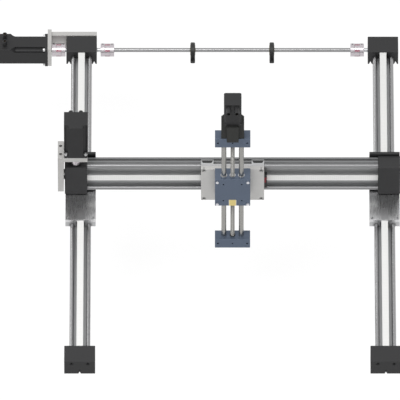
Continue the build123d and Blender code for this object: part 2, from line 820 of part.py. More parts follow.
# Long rails
save("y_profiles", *[place * long_axis.profile() for place in sides])
save("y_rail_shafts", *[place * shaft for place in sides for shaft in long_axis.shafts()])
save("y_belts", *[place * long_axis.belt() for place in sides])
save("y_drive_housing_left", left * long_axis.housing(True, True))
save("y_drive_housing_right", right * long_axis.housing(True, False))
save("y_idler_housings", *[place * turned * long_axis.housing(False, False) for place in sides])
ends = (Rot(0, 0, 0), turned)
save("y_housing_screws", *[p * e * s for p in sides for e in ends for s in long_axis.housing_screws()])
save("y_pulley_bearings", *[p * e * b for p in sides for e in ends for b in long_axis.bearings()])

# Rotating line at the rear: pulleys, couplings, connecting shaft and motor
half_housing = long_housing_width / 2
inner_reach = half_housing + link_gap + hub_length
outer_reach = half_housing + motor_link_gap + hub_length
bearing_end = belt_width / 2 + cavity_side + bearing_width
left_pulley = left * long_axis.pulley(-outer_reach, inner_reach)
right_pulley = right * long_axis.pulley(-inner_reach, bearing_end)
save("y_drive_pulleys", left_pulley, right_pulley)
idler = long_axis.pulley(-bearing_end, bearing_end)
save("y_idler_pulley_left", left * turned * idler)
save("y_idler_pulley_right", right * turned * idler)
coupling_line = Pos(0, long_pulley_y, long_pulley_height) * Rot(0, 90, 0)
inner_start = rail_offset - half_housing - link_gap - coupling_length
motor_start = -rail_offset - half_housing - motor_link_gap - coupling_length
starts = (motor_start, -inner_start - coupling_length, inner_start)
couplings = [coupling(shaft_radius, start) for start in starts]
save("y_coupling_hubs", *[coupling_line * hub for group in couplings for hub in group[:2]])
save("y_coupling_spiders", *[coupling_line * group[2] for group in couplings])
link_end = inner_start + hub_length
save("y_connecting_shaft", rod_x(shaft_radius, (-link_end, link_end), long_pulley_y, long_pulley_height))
motor_face = motor_start - y_flange_gap - y_flange_thickness
motor_shaft = (motor_face - motor_bore_depth + shaft_end_air, motor_start + hub_length)
save("y_motor_shaft", rod_x(shaft_radius, motor_shaft, long_pulley_y, long_pulley_height))
large_sockets = (connector_spacing, connector_radius, connector_height, connector_inset)
y_motor_origin = (motor_face, long_pulley_y, long_pulley_height)
y_motor_frame = Plane(origin=y_motor_origin, x_dir=(0, 1, 0), z_dir=(1, 0, 0))
large_kind = (large_pitch, large_pilot, large_edge, shaft_radius, large_sockets)
y_cuts = groove_cuts(y_motor_length)
save("y_motor", y_motor_frame.location * motor(large_motor, y_motor_length, *large_kind, y_cuts))
save("y_motor_plate", y_motor_plate(motor_face))
save("y_motor_bar", y_motor_bar(motor_face + y_flange_thickness))
pillow_places = [Pos(side * pillow_offset, 0, 0) for side in (-1, 1)]
save("pillow_blocks", *[place * pillow_block() for place in pillow_places])
save("pillow_bearings", *[place * pillow_insert() for place in pillow_places])

# Carriages of the long rails and the brackets that stand on them
long_plate = (long_carriage_width, long_carriage_length, long_carriage_centre)
long_stretch = (long_carriage_length, long_carriage_centre)
plate = carriage(long_axis, *long_plate, long_hole_span, long_hole_pitch, True)
save("y_carriages", *[place * plate for place in sides])
save("y_bearing_blocks", *[p * b for p in sides for b in bearing_blocks(long_axis, *long_plate)])
save("y_bearing_liners", *[p * b for p in sides for b in bearing_liners(long_axis, *long_plate)])
save("y_belt_clamps", *[p * c for p in sides for c in belt_clamps(*long_stretch)])
save("x_brackets", *[place * bracket() for place in sides])

# Bridge axis with its motor
save("x_profile", bridge * bridge_axis.profile())
save("x_rail_shafts", *[bridge * shaft for shaft in bridge_axis.shafts()])
save("x_belt", bridge * bridge_axis.belt())
save("x_idler_housing", bridge * bridge_axis.housing(False, False))
save("x_drive_housing", bridge * turned * bridge_axis.housing(False, True))
save("x_housing_screws", *[bridge * e * s for e in ends for s in bridge_axis.housing_screws()])
save("x_pulley_bearings", *[bridge * e * b for e in ends for b in bridge_axis.bearings()])
bridge_reach = bridge_housing_width / 2 + bridge_link_gap + hub_length
save("x_drive_pulley", bridge * turned * bridge_axis.pulley(-bearing_end, bridge_reach))
save("x_idler_pulley", bridge * bridge_axis.pulley(-bearing_end, bearing_end))
bridge_top = bridge_mid_z + bridge_housing_width / 2
x_line = Pos(-bridge_pulley_x, bridge_pulley_y, 0)
x_coupling = coupling(shaft_radius, bridge_top + bridge_link_gap)
save("x_coupling_hubs", *[x_line * hub for hub in x_coupling[:2]])
save("x_coupling_spider", x_line * x_coupling[2])
shaft_low = bridge_top + bridge_link_gap + coupling_length - hub_length
x_shaft = (shaft_low, x_flange_high + motor_bore_depth - shaft_end_air)
save("x_motor_shaft", rod_z(shaft_radius, x_shaft, -bridge_pulley_x, bridge_pulley_y))
x_motor_origin = (-bridge_pulley_x, bridge_pulley_y, x_flange_high)
x_motor_frame = Plane(origin=x_motor_origin, x_dir=(-1, 0, 0), z_dir=(0, 0, -1))
x_cuts = groove_cuts(x_motor_length)
save("x_motor", x_motor_frame.location * motor(large_motor, x_motor_length, *large_kind, x_cuts))
side_x = -bridge_pulley_x - housing_mid - x_side_gap
save("x_motor_plate", x_motor_plate(side_x))
save("x_side_plate", x_side_plate(side_x))

# Carriage of the bridge, with the fixed part of the lifting unit
bridge_plate = (bridge_carriage_width, bridge_carriage_length, 0)
plate = carriage(bridge_axis, *bridge_plate, bridge_hole_span, bridge_hole_pitch, False)
save("x_carriage", bridge * plate)
save("x_bearing_blocks", *[bridge * b for b in bearing_blocks(bridge_axis, *bridge_plate)])
bridge_liners = [bridge * b for b in bearing_liners(bridge_axis, *bridge_plate)]
save("x_bearing_liners", *bridge_liners, *end_buffers())
save("belt_tensioner", tensioner(tensioner_thickness, around(bridge_mid_z, tensioner_height)))
save("adapter_plate", adapter_plate())
adapter_grip = adapter_thickness - m6_head_height - head_recess + plate_thickness
adapter_screw = cap_screw(m6_radius, m6_head_radius, m6_head_height, adapter_grip)
head_y = adapter_front_y + head_recess
adapter_spans = (bridge_hole_pitch, bridge_hole_span)
save("adapter_screws", *front_screws(adapter_screw, *adapter_spans, bridge_mid_z, head_y))
save("z_block", middle_block())
block_grip = block_thickness + adapter_thickness - wall
block_screw = cap_screw(m4_radius, m4_head_radius, m4_head_height, block_grip)
block_middle = (block_low + block_high) / 2
screw_spans = (block_screw_span, block_screw_span)
block_head_y = block_front_y - m4_head_height
save("z_block_screws", *front_screws(block_screw, *screw_spans, block_middle, block_head_y))
bushings = []
upper_bushing = (block_high - bushing_length, block_high + bushing_proud)
lower_bushing = (block_low, block_low + bushing_length)
for x in around(0, guide_span):
    for pair in (upper_bushing, lower_bushing):
        ring = rod_z(bushing_radius, pair, x, lift_axis_y)
        bushings.append(ring - rod_z(guide_radius + running, pair, x, lift_axis_y))
save("z_bushings", *bushings)
wiper_pair = (block_high - wiper_length, block_high + bushing_proud)
wiper = rod_z(wiper_radius, wiper_pair, 0, lift_axis_y)
save("screw_wiper", wiper - rod_z(screw_radius + running, wiper_pair, 0, lift_axis_y))
save("lead_nut", lead_nut())

# Moving part of the lifting unit
upper_bearing = (upper_plate_high - bearing_width, upper_plate_high)
lower_bearing = (lower_plate_low, lower_plate_low + bearing_width)
lower_plate_high = lower_plate_low + end_plate_height
upper_guide = (upper_plate_low, upper_plate_high - bearing_width)
lower_guide = (lower_plate_low + bearing_width, lower_plate_high)
upper_recess = (upper_plate_low, upper_plate_high)
save("z_upper_plate", end_plate(upper_plate_low, upper_bearing, upper_guide, upper_recess))
lower = end_plate(lower_plate_low, lower_bearing, lower_guide, (lower_plate_low, lower_plate_high))
for x in around(0, tool_hole_span):
    for y in around(block_front_y + end_plate_depth / 2, tool_hole_rows):
        lower -= rod_z(m6_tap_radius, (lower_plate_low, lower_plate_low + tool_hole_depth), x, y)
save("z_lower_plate", lower)
guide_pair = (lower_guide[0], upper_guide[1])
save("z_guide_shafts", *[rod_z(guide_radius, guide_pair, x, lift_axis_y) for x in around(0, guide_span)])
save("z_screw_bearings", screw_bearing(upper_bearing), screw_bearing(lower_bearing))
save("z_coupling_housing", coupler_body())
small_sockets = (small_spacing, small_connector, small_height, small_inset)
small_kind = (small_pitch, small_pilot, small_edge, small_shaft_radius, small_sockets)
z_cuts = corner_cuts(z_motor_length)
z_motor_frame = Plane(origin=(0, lift_axis_y, coupler_high), x_dir=(1, 0, 0), z_dir=(0, 0, -1))
save("z_motor", z_motor_frame.location * motor(small_motor, z_motor_length, *small_kind, z_cuts))

# Lead screw and what turns with it
coupler_middle = upper_plate_high + coupler_height / 2
lead_screw_ends = (lower_plate_low + shaft_end_air, coupler_middle - shaft_end_air)
save("lead_screw", rod_z(screw_radius, lead_screw_ends, 0, lift_axis_y))
save("z_coupling", beam_coupling())
z_shaft = (coupler_middle + shaft_end_air, coupler_high + motor_bore_depth - shaft_end_air)
save("z_motor_shaft", rod_z(small_shaft_radius, z_shaft, 0, lift_axis_y))
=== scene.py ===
import json
import math
import bmesh
import bpy
from mathutils import Matrix, Vector


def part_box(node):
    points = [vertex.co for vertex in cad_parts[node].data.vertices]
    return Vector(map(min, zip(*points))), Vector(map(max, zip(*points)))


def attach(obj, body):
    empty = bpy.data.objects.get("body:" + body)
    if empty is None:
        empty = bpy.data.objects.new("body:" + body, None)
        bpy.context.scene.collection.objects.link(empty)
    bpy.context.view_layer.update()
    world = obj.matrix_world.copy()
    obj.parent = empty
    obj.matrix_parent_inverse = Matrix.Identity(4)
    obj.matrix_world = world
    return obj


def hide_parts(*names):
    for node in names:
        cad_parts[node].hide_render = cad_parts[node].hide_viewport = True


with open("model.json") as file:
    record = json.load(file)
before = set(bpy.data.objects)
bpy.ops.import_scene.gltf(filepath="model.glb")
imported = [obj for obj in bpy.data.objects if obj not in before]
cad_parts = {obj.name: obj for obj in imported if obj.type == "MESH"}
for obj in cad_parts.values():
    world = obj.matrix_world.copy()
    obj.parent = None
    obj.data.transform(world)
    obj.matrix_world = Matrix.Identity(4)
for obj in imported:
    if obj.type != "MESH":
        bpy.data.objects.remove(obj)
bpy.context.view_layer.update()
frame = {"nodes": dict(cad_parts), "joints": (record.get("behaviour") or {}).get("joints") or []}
cad = frame["nodes"]
mm = 0.001

# Lines that pieces turn about, by the name of their joint
turning = {joint["name"]: Vector(joint["pos_m"]) for joint in frame["joints"] if "pos_m" in joint}
rear_line = turning["y_drive_spin"]
bridge_line = turning["x_drive_spin"]
screw_line = turning["screw_spin"]


def middle_of(node):
    """Middle of a node's box."""
    low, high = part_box(node)
    return (low + high) / 2


def half_of(node):
    """Half the size of a node's box."""
    low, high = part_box(node)
    return (high - low) / 2


# Colour and material helpers


def linear(level):
    """Linear value of a screen level from 0 to 255."""
    share = level / 255
    return share / 12.92 if share <= 0.04045 else ((share + 0.055) / 1.055) ** 2.4


def colour(red, green, blue):
    """Linear colour of three screen levels."""
    return (linear(red), linear(green), linear(blue), 1.0)


def scaled(tone, factor):
    """A colour made lighter or darker."""
    return tuple(min(1.0, part * factor) for part in tone[:3]) + (1.0,)


class Finish:
    """Material whose colour, roughness and bump share one grain, with edges in another colour: painted
    shade where they are darker, wear and painted highlight where they are lighter.
    """

    def __init__(self, name, tone, metallic, roughness):
        self.material = bpy.data.materials.new(name)
        self.material.use_nodes = True
        self.material.diffuse_color = tone
        self.tone = tone
        self.roughness = roughness
        self.nodes = self.material.node_tree.nodes
        self.links = self.material.node_tree.links
        self.shader = self.nodes["Principled BSDF"]
        self.shader.inputs["Metallic"].default_value = metallic
        self.place = self.nodes.new("ShaderNodeTexCoord").outputs["Object"]
        self.shade = None
        self.normal = None
        self.height = None
        self.depth = 0.0

    def noise(self, stretch, detail):
        """Noise in metres, stretched along an axis by a small scale there."""
        mapping = self.nodes.new("ShaderNodeMapping")
        mapping.inputs["Scale"].default_value = stretch
        self.links.new(self.place, mapping.inputs["Vector"])
        texture = self.nodes.new("ShaderNodeTexNoise")
        texture.inputs["Scale"].default_value = 1.0
        texture.inputs["Detail"].default_value = detail
        self.links.new(mapping.outputs["Vector"], texture.inputs["Vector"])
        return texture.outputs["Fac"]

    def remap(self, source, low, high, start=0.3, end=0.7):
        """Source between start and end as a value between low and high."""
        node = self.nodes.new("ShaderNodeMapRange")
        node.inputs["From Min"].default_value = start
        node.inputs["From Max"].default_value = end
        node.inputs["To Min"].default_value = low
        node.inputs["To Max"].default_value = high
        self.links.new(source, node.inputs["Value"])
        return node.outputs["Result"]

    def mix(self, factor, first, second):
        """Colour between two colours or colour outputs."""
        node = self.nodes.new("ShaderNodeMix")
        node.data_type = "RGBA"
        self.links.new(factor, node.inputs["Factor"])
        for socket, value in ((node.inputs["A"], first), (node.inputs["B"], second)):
            if isinstance(value, tuple):
                socket.default_value = value
            else:
                self.links.new(value, socket)
        return node.outputs["Result"]

    def grain(self, stretch, spread, rough_spread, depth):
        """Fine grain in colour and roughness, and a bump of a depth in metres."""
        fine = self.noise(stretch, 5.0)
        cloud = self.noise(cloudy, 2.0)
        dark, light = scaled(self.tone, 1 - spread), scaled(self.tone, 1 + spread)
        shade = self.mix(self.remap(fine, 0, 1), dark, light)
        stain = scaled(self.tone, 1 - 1.5 * spread)
        self.shade = self.mix(self.remap(cloud, 0.0, 0.5), shade, stain)
        rough = self.remap(fine, self.roughness - rough_spread, self.roughness + rough_spread)
        self.links.new(rough, self.shader.inputs["Roughness"])
        self.height = fine
        self.depth = depth

    def edges(self, radius, edge_wear_and_shade):
        """Rounded edges of a radius whose colour is scaled by a factor: darker edges are painted shade,
        lighter edges are wear and painted highlight.
        """
        bevel = self.nodes.new("ShaderNodeBevel")
        bevel.samples = 4
        bevel.inputs["Radius"].default_value = radius
        flat = self.nodes.new("ShaderNodeNewGeometry").outputs["Normal"]
        dot = self.nodes.new("ShaderNodeVectorMath")
        dot.operation = "DOT_PRODUCT"
        self.links.new(bevel.outputs["Normal"], dot.inputs[0])
        self.links.new(flat, dot.inputs[1])
        # Painted edge shade and wear: the colour near the edges is scaled by the factor
        mask = self.remap(dot.outputs["Value"], 0.8, 0.0, start=0.75, end=0.98)
        self.shade = self.mix(mask, self.shade, scaled(self.tone, edge_wear_and_shade))
        self.normal = bevel.outputs["Normal"]

    def done(self):
        """Joins colour and bump to the shader."""
        self.links.new(self.shade, self.shader.inputs["Base Color"])
        bump = self.nodes.new("ShaderNodeBump")
        bump.inputs["Strength"].default_value = 0.6
        bump.inputs["Distance"].default_value = self.depth
        self.links.new(self.height, bump.inputs["Height"])
        if self.normal is not None:
            self.links.new(self.normal, bump.inputs["Normal"])
        self.links.new(bump.outputs["Normal"], self.shader.inputs["Normal"])
        return self.material


# Depths of the surface textures, and radii of the edges
milled_depth = 0.02 * mm
brushed_depth = 0.004 * mm
ground_depth = 0.0002 * mm
moulded_depth = 0.03 * mm
metal_edge = 0.5 * mm
hub_edge = 1 * mm
moulded_edge = 0.8 * mm
belt_edge = 0.4 * mm

# Noise scales for each metre: the same in every direction, and the wide clouds under every grain
even = (900.0, 900.0, 900.0)
belt_even = (700.0, 700.0, 700.0)
pin_even = (800.0, 800.0, 800.0)
cloudy = (21.0, 21.0, 21.0)


def machined(name, tone, metallic, roughness, stretch, edge_wear_and_shade=1.25, depth=milled_depth):
    """Milled metal with fine lines."""
    finish = Finish(name, tone, metallic, roughness)
    finish.grain(stretch, spread=0.05, rough_spread=0.05, depth=depth)
    finish.edges(metal_edge, edge_wear_and_shade)
    return finish.done()


def extruded(name, tone, stretch, axis):
    """Extruded profile with fine lines, painted shade on the faces that look along an axis, and painted
    shade on its edges.
    """
    finish = Finish(name, tone, 0.7, 0.4)
    finish.grain(stretch, spread=0.05, rough_spread=0.05, depth=milled_depth)
    # Painted shade: faces whose normal lies along the axis get a darker colour
    parts = finish.nodes.new("ShaderNodeSeparateXYZ")
    flat = finish.nodes.new("ShaderNodeNewGeometry").outputs["True Normal"]
    finish.links.new(flat, parts.inputs["Vector"])
    side = finish.nodes.new("ShaderNodeMath")
    side.operation = "ABSOLUTE"
    finish.links.new(parts.outputs[axis], side.inputs[0])
    mask = finish.remap(side.outputs["Value"], 0.0, 1.0, start=0.6, end=0.9)
    finish.shade = finish.mix(mask, finish.shade, scaled(tone, 0.58))
    # Painted shade: the edges are darkened by a factor of 0.5
    finish.edges(metal_edge, 0.5)
    return finish.done()


def turned(name, tone, roughness, stretch, edge_wear_and_shade=None):
    """Ground or turned metal with very fine rings, and edges in another colour where an edge factor is
    given: painted shade where darker, wear and painted highlight where lighter.
    """
    finish = Finish(name, tone, 1.0, roughness)
    finish.grain(stretch, spread=0.03, rough_spread=0.03, depth=ground_depth)
    if edge_wear_and_shade:
        finish.edges(hub_edge, edge_wear_and_shade)
    return finish.done()


def coated(name, tone, metallic, roughness, edge_wear_and_shade=1.6, gloss=0.5):
    """Painted, cast or moulded surface with a fine even texture."""
    finish = Finish(name, tone, metallic, roughness)
    finish.shader.inputs["Specular IOR Level"].default_value = gloss
    finish.grain(even, spread=0.08, rough_spread=0.06, depth=moulded_depth)
    finish.edges(moulded_edge, edge_wear_and_shade)
    return finish.done()


# Squared radius to which a liner reaches round its shaft, and where its tone has faded, and
# the width over which the coloured band fades
liner_square = 62.5 * mm * mm
liner_square_end = 66 * mm * mm
band_blur = 0.1 * mm


def lined(name, pad_tone, liner_tone, axes, offset, middle, band=None):
    """Moulded pads, with liners of another tone round the shafts, and at will a coloured band.

    The shafts cross the plane of the two axes. Along the first axis they lie at the second
    offset from two places, which lie at the first offset from the middle. The band has its
    place along the first axis, half its width and its tone.
    """
    finish = Finish(name, pad_tone, 0.0, 0.55)
    finish.grain(even, spread=0.08, rough_spread=0.06, depth=moulded_depth)
    parts = finish.nodes.new("ShaderNodeSeparateXYZ")
    finish.links.new(finish.place, parts.inputs["Vector"])

    def math_node(operation, first, second):
        """Result of an operation on an output and a value or output."""
        node = finish.nodes.new("ShaderNodeMath")
        node.operation = operation
        finish.links.new(first, node.inputs[0])
        if isinstance(second, float):
            node.inputs[1].default_value = second
        else:
            finish.links.new(second, node.inputs[1])
        return node.outputs["Value"]

    across = math_node("SUBTRACT", parts.outputs[axes[0]], middle[0])
    across = math_node("SUBTRACT", math_node("ABSOLUTE", across, 0.0), offset[0])
    across = math_node("SUBTRACT", math_node("ABSOLUTE", across, 0.0), offset[1])
    height = math_node("SUBTRACT", parts.outputs[axes[1]], middle[1])
    square = math_node("ADD", math_node("POWER", across, 2.0), math_node("POWER", height, 2.0))
    ring = finish.remap(square, 1.0, 0.0, start=liner_square, end=liner_square_end)
    finish.shade = finish.mix(ring, finish.shade, liner_tone)
    if band:
        place, half, tone = band
        apart = math_node("ABSOLUTE", math_node("SUBTRACT", parts.outputs[axes[0]], place), 0.0)
        stripe = finish.remap(apart, 1.0, 0.0, start=half, end=half + band_blur)
        finish.shade = finish.mix(stripe, finish.shade, tone)
    return finish.done()


# Period in metres of the wave texture at a scale of 1
wave_period = 0.314


def ribbed(name, tone, roughness, direction, pitch, depth, dark):
    """Belt with fine regular lines across one direction."""
    finish = Finish(name, tone, 0.0, roughness)
    finish.grain(belt_even, spread=0.03, rough_spread=0.05, depth=depth)
    wave = finish.nodes.new("ShaderNodeTexWave")
    wave.bands_direction = direction
    wave.wave_profile = "SIN"
    wave.inputs["Scale"].default_value = wave_period / pitch
    finish.links.new(finish.place, wave.inputs["Vector"])
    line = finish.remap(wave.outputs["Fac"], dark, 0.0, start=0.1, end=0.6)
    finish.shade = finish.mix(line, finish.shade, scaled(tone, 0.6))
    finish.height = wave.outputs["Fac"]
    finish.edges(belt_edge, 1.1)
    return finish.done()


# Noise scales for lines along an axis and for rings across it
along_x = (40.0, 1800.0, 1800.0)
along_y = (1800.0, 40.0, 1800.0)
along_z = (1800.0, 1800.0, 40.0)
across_x = (2500.0, 60.0, 60.0)
across_y = (60.0, 2500.0, 60.0)
across_z = (60.0, 60.0, 2500.0)

# Tones that more than one material uses
motor_plate_tone = colour(194, 193, 191)
profile_tone = colour(164, 165, 166)
# The slight pink in the hub tone is a painted reflection of the red spiders
hub_tone = colour(196, 190, 194)
tensioner_tone = colour(124, 16, 34)
liner_tones = (colour(34, 34, 34), colour(150, 150, 151))

# Materials; an edge factor below 1 is painted edge shade, one above 1 is edge wear and painted
# highlight
profile_y = extruded("profile_along_y", profile_tone, along_y, "X")
profile_x = extruded("profile_along_x", profile_tone, along_x, "Z")
# The ground shafts are one steel with a tone for each direction; the darker tone of the rail shafts
# along X is painted shade
shaft_x = turned("ground_shaft_x", colour(152, 152, 153), 0.26, across_x)
rail_x = turned("rail_shaft_x", colour(140, 140, 141), 0.32, across_x)
shaft_y = turned("ground_shaft_y", colour(156, 156, 157), 0.26, across_y)
shaft_z = turned("ground_shaft_z", colour(156, 155, 152), 0.26, across_z)
carriage_tone = colour(216, 216, 217)
clamp_tone = colour(184, 184, 185)
carriage_y = machined("carriage_along_y", carriage_tone, 1.0, 0.28, along_y, 1.25, brushed_depth)
clamp_y = machined("clamp_along_y", clamp_tone, 1.0, 0.36, along_y, 1.9, brushed_depth)
carriage_x = machined("carriage_along_x", colour(186, 186, 187), 1.0, 0.3, along_x)
block_metal = machined("block_metal", colour(188, 189, 190), 1.0, 0.34, along_y)
side_plate_metal = machined("side_plate_metal", colour(190, 189, 187), 0.6, 0.42, along_z)
adapter_metal = machined("adapter_metal", motor_plate_tone, 0.6, 0.42, along_x)
motor_plate_y = machined("motor_plate_y", motor_plate_tone, 0.6, 0.42, along_y)
motor_plate_x = machined("motor_plate_x", motor_plate_tone, 0.6, 0.42, along_x)
pulley_metal = turned("pulley_metal", colour(196, 197, 199), 0.28, across_x)
# Hub edges darkened by a factor of 0.3: painted shade
hub_metal = turned("hub_metal", hub_tone, 0.24, across_x, 0.3)
hub_metal_z = turned("hub_metal_z", hub_tone, 0.24, across_z, 0.3)
bearing_metal = turned("bearing_metal", colour(172, 174, 178), 0.24, across_x)
bushing_metal = turned("bushing_metal", colour(176, 177, 180), 0.3, across_z)
screw_metal = turned("screw_metal", colour(158, 157, 154), 0.5, across_z)
bright_metal = turned("bright_metal", colour(226, 226, 229), 0.3, even)
flange_steel = turned("flange_steel", colour(196, 196, 197), 0.36, even)
bronze = turned("nut_bronze", colour(214, 196, 132), 0.34, across_z)
housing_grey = coated("housing_grey", colour(43, 43, 44), 0.05, 0.5, 0.6, 0.35)
bracket_black = coated("bracket_black", colour(31, 31, 32), 0.2, 0.45, 1.2)
pillow_black = coated("pillow_black", colour(34, 34, 34), 0.1, 0.5)
motor_black = coated("motor_black", colour(43, 43, 44), 0.1, 0.5, 0.7, 0.3)
coupler_black = coated("coupler_black", colour(37, 38, 36), 0.1, 0.5, 0.7, 0.35)
screw_grey = coated("screw_grey", colour(50, 50, 51), 0.4, 0.4, 0.7, 0.35)
screw_steel = turned("screw_steel", colour(165, 165, 164), 0.4, even)
insert_yellow = coated("insert_yellow", colour(120, 112, 70), 0.4, 0.4)
anodised_blue = machined("anodised_blue", colour(90, 101, 118), 0.55, 0.4, along_x)
tensioner_red = coated("tensioner_red", tensioner_tone, 0.0, 0.5)
spider_red = coated("spider_red", colour(176, 112, 128), 0.0, 0.5, 1.2)
socket_dark = coated("socket_dark", colour(16, 16, 16), 0.0, 0.6, 1.2)
pin_gold = turned("pin_gold", colour(214, 178, 96), 0.24, pin_even)

# Toothed belts
tooth_pitch = 5 * mm
tooth_depth = 0.05 * mm
# Both belts are one white belt; the lighter tone of the belt along X is painted light on its
# front-facing face
belt_y = ribbed("belt_along_y", colour(240, 240, 238), 0.55, "Y", tooth_pitch, tooth_depth, 0.12)
belt_x = ribbed("belt_along_x", colour(246, 246, 244), 0.55, "X", tooth_pitch, tooth_depth, 0.12)

# Liners of the bearing blocks round their shafts, and a red foot of the buffer on the tensioner
shaft_radius = 5 * mm
half_band = 3.5 * mm
rail_place = middle_of("y_drive_housing_right").x
rail_half = half_of("y_rail_shafts").x - shaft_radius - rail_place
rail_middle = (0.0, middle_of("y_rail_shafts").z)
bridge_half = half_of("x_rail_shafts").z - shaft_radius
bridge_middle = (middle_of("x_rail_shafts").z, middle_of("x_rail_shafts").y)
red_band = (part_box("belt_tensioner")[1].z + half_band, half_band, tensioner_tone)
liner_y = lined("liners_along_y", *liner_tones, ("X", "Z"), (rail_place, rail_half), rail_middle)
liner_x = lined("liners_along_x", *liner_tones, ("Z", "Y"), (0.0, bridge_half), bridge_middle, red_band)

# The material of every node
finishes = {
    "y_profiles": profile_y,
    "x_profile": profile_x,
    "y_rail_shafts": shaft_y,
    "x_rail_shafts": rail_x,
    "z_guide_shafts": shaft_z,
    "y_connecting_shaft": shaft_x,
    "y_motor_shaft": shaft_x,
    "x_motor_shaft": shaft_z,
    "z_motor_shaft": shaft_z,
    "lead_screw": screw_metal,
    "y_belts": belt_y,
    "x_belt": belt_x,
    "y_drive_housing_left": housing_grey,
    "y_drive_housing_right": housing_grey,
    "y_idler_housings": housing_grey,
    "x_drive_housing": housing_grey,
    "x_idler_housing": housing_grey,
    "y_housing_screws": screw_grey,
    "x_housing_screws": screw_grey,
    "adapter_screws": screw_steel,
    "y_pulley_bearings": bearing_metal,
    "x_pulley_bearings": bearing_metal,
    "z_screw_bearings": bearing_metal,
    "y_motor": motor_black,
    "x_motor": motor_black,
    "z_motor": motor_black,
    "y_motor_plate": motor_plate_y,
    "x_motor_plate": motor_plate_x,
    "x_side_plate": side_plate_metal,
    "y_motor_bar": motor_plate_x,
    "adapter_plate": adapter_metal,
    "pillow_blocks": pillow_black,
    "pillow_bearings": insert_yellow,
    "y_drive_pulleys": pulley_metal,
    "y_idler_pulley_left": pulley_metal,
    "y_idler_pulley_right": pulley_metal,
    "x_drive_pulley": pulley_metal,
    "x_idler_pulley": pulley_metal,
    "y_coupling_hubs": hub_metal,
    "x_coupling_hubs": hub_metal_z,
    "z_coupling": hub_metal_z,
    "y_coupling_spiders": spider_red,
    "x_coupling_spider": spider_red,
    "y_carriages": carriage_y,
    "x_carriage": carriage_x,
    "y_belt_clamps": clamp_y,
    "y_bearing_blocks": block_metal,
    "x_bearing_blocks": block_metal,
    "y_bearing_liners": liner_y,
    "x_bearing_liners": liner_x,
    "x_brackets": bracket_black,
    "belt_tensioner": tensioner_red,
    "z_block": anodised_blue,
    "z_upper_plate": anodised_blue,
    "z_lower_plate": anodised_blue,
    "z_block_screws": bright_metal,
    "z_bushings": bushing_metal,
    "screw_wiper": bushing_metal,
    "lead_nut": bronze,
    "z_coupling_housing": coupler_black,
}
for name, material in finishes.items():
    mesh = cad[name].data
    for index in range(len(mesh.materials)):
        mesh.materials[index] = material


# Added pieces


def add_piece(name, mesh, material, body):
    """Mesh as a piece that rides on a body."""
    item = bpy.data.objects.new(name, mesh)
    bpy.context.scene.collection.objects.link(item)
    mesh.materials.append(material)
    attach(item, body)
    return item


def helix_mesh(name, low, high, line, core, crest, lead, starts):
    """Trapezoid thread along Z with its core.

    Each start adds four points to the profile of one lead.
    """
    steps = 24
    pitch = lead / starts
    profile = []
    for start in range(starts):
        base = start * pitch
        profile += [(base, core), (base + 0.2 * pitch, crest), (base + 0.55 * pitch, crest)]
        profile += [(base + 0.75 * pitch, core)]
    count = len(profile)
    rows = round((high - low) / lead * steps) - steps
    mesh = bpy.data.meshes.new(name)
    form = bmesh.new()
    grid = []
    for row in range(rows + 1):
        angle = 2 * math.pi * row / steps
        lift = low + lead * row / steps
        points = []
        for height, radius in profile:
            x = line.x + radius * math.cos(angle)
            y = line.y + radius * math.sin(angle)
            points.append(form.verts.new((x, y, lift + height)))
        grid.append(points)
    for row in range(rows):
        lower, upper = grid[row], grid[row + 1]
        for point in range(count - 1):
            form.faces.new((lower[point], upper[point], upper[point + 1], lower[point + 1]))
        if row + 1 + steps <= rows:
            above, after = grid[row + steps][0], grid[row + 1 + steps][0]
            form.faces.new((lower[count - 1], upper[count - 1], after, above))
    bmesh.ops.recalc_face_normals(form, faces=form.faces)
    form.to_mesh(mesh)
    form.free()
    return mesh


def lathe(form, profile, place):
    """Turned body about a place's Z axis, from pairs of height and radius.

    A radius of 0 closes an end.
    """
    steps = 32
    rings = []
    for height, radius in profile:
        if radius == 0:
            rings.append([form.verts.new(place @ Vector((0, 0, height)))])
            continue
        ring = []
        for step in range(steps):
            angle = 2 * math.pi * step / steps
            x, y = radius * math.cos(angle), radius * math.sin(angle)
            ring.append(form.verts.new(place @ Vector((x, y, height))))
        rings.append(ring)
    for lower, upper in zip(rings, rings[1:]):
        for step in range(steps):
            following = (step + 1) % steps
            corners = [lower[step % len(lower)], lower[following % len(lower)]]
            corners += [upper[following % len(upper)], upper[step % len(upper)]]
            form.faces.new(list(dict.fromkeys(corners)))


def turned_mesh(name, parts):
    """Mesh of several turned bodies, each a profile and a place."""
    form = bmesh.new()
    for profile, place in parts:
        lathe(form, profile, place)
    bmesh.ops.recalc_face_normals(form, faces=form.faces)
    for edge in form.edges:
        edge.smooth = edge.calc_face_angle(0) < math.radians(30)
    for face in form.faces:
        face.smooth = True
    mesh = bpy.data.meshes.new(name)
    form.to_mesh(mesh)
    form.free()
    return mesh


def add_turned(name, parts, material, body):
    """Turned bodies as one piece that rides on a body."""
    return add_piece(name, turned_mesh(name, parts), material, body)


def facing(point, axis):
    """Place at a point whose Z looks along an axis."""
    turn = Vector(axis).to_track_quat("Z", "Y").to_matrix().to_4x4()
    return Matrix.Translation(Vector(point)) @ turn


# Lead screw: its thread between two turned ends
screw_low, screw_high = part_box("lead_screw")
screw_radius = half_of("lead_screw").x
chamfer = 0.4 * mm
neck_radii = (4.2 * mm, 4.15 * mm)
thread_core = 4.4 * mm
thread_lead, thread_starts = 4 * mm, 2
thread_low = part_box("z_lower_plate")[1].z + 0.8 * mm
thread_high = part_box("z_upper_plate")[0].z - 0.9 * mm
thread = helix_mesh(
    "lead_screw_thread", thread_low, thread_high, screw_line,
    thread_core, screw_radius, thread_lead, thread_starts,
)
screw_piece = add_piece("lead_screw_thread", thread, screw_metal, "lead_screw")


